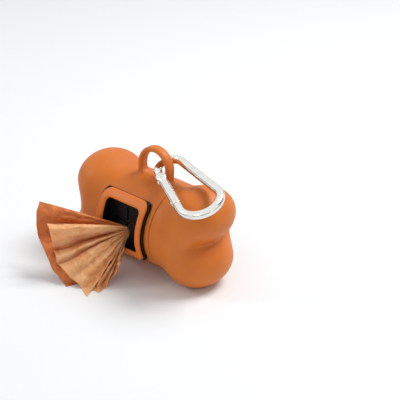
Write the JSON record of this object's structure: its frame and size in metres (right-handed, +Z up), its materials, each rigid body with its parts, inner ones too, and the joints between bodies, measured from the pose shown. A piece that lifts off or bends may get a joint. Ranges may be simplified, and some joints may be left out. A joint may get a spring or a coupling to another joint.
{
  "type": "dog poop bag dispenser",
  "caption": "Bone-shaped pet waste bag dispenser with a twist-off end, a framed rubber slit for the bags, a hanging loop and a spring-gate clip.",
  "frame": {"origin": "the point on the ground midway between the two small feet, under the middle of the bone", "axes": "+X along the bone towards the twist-off end, -Y out of the framed slit, +Z up through the hanging loop"},
  "size_m": [0.0895, 0.0652, 0.0601],
  "materials": {
    "housing": "soft matt terracotta orange moulded plastic",
    "frame": "satin orange moulded plastic, a little brighter than the housing",
    "rubber": "matt black rubber",
    "film": "thin crinkled translucent tan-orange film",
    "card": "plain brown card",
    "clip_metal": "polished",
    "spring_steel": "bright drawn wire"
  },
  "bodies": {
    "case": {"main_body": "housing", "window_frame": "frame", "slit_boot": "rubber"},
    "cap": {"end_cap": "housing"},
    "roll": {"bag_roll": "film", "roll_core": "card"},
    "bag": {"pulled_bag": "film"},
    "clip": {"carabiner_body": "clip_metal", "gate_rivet": "clip_metal"},
    "gate": {"carabiner_gate": "clip_metal", "latch_pin": "clip_metal", "gate_spring": "spring_steel"},
    "plunger": {"gate_plunger": "spring_steel"}
  },
  "joints": [
    {"name": "cap_turn", "type": "hinge", "parent": "case", "child": "cap", "pos_m": [0.0143, 0, 0.0235], "axis": [1, 0, 0], "range_deg": [0, 60]},
    {"name": "roll_spin", "type": "hinge", "parent": "case", "child": "roll", "pos_m": [0, 0, 0.02115], "axis": [1, 0, 0], "range_deg": [0, 88]},
    {"name": "bag_pull", "type": "slide", "parent": "case", "child": "bag", "axis": [0, -1, 0], "range_m": [0, 0.02]},
    {"name": "clip_swing", "type": "hinge", "parent": "case", "child": "clip", "pos_m": [0.00133, 0.0027, 0.05098], "axis": [-0.21, -0.9725, -0.1011], "range_deg": [0, 84]},
    {"name": "gate_open", "type": "hinge", "parent": "clip", "child": "gate", "pos_m": [0.00992, -0.00685, 0.04777], "axis": [-0.0607, -0.3934, 0.9174], "range_deg": [0, 26], "stiffness_Nm_per_rad": 0.004, "springref_deg": -20.05},
    {"name": "plunger_slide", "type": "slide", "parent": "gate", "child": "plunger", "axis": [0.8726, -0.4671, -0.1426], "range_m": [0, 0.0003]}
  ],
  "couplings": [
    {"joint": "bag_pull", "follows": "roll_spin", "m_per_rad": 0.013},
    {"joint": "plunger_slide", "follows": "gate_open", "m_per_rad": 0.00058}
  ]
}
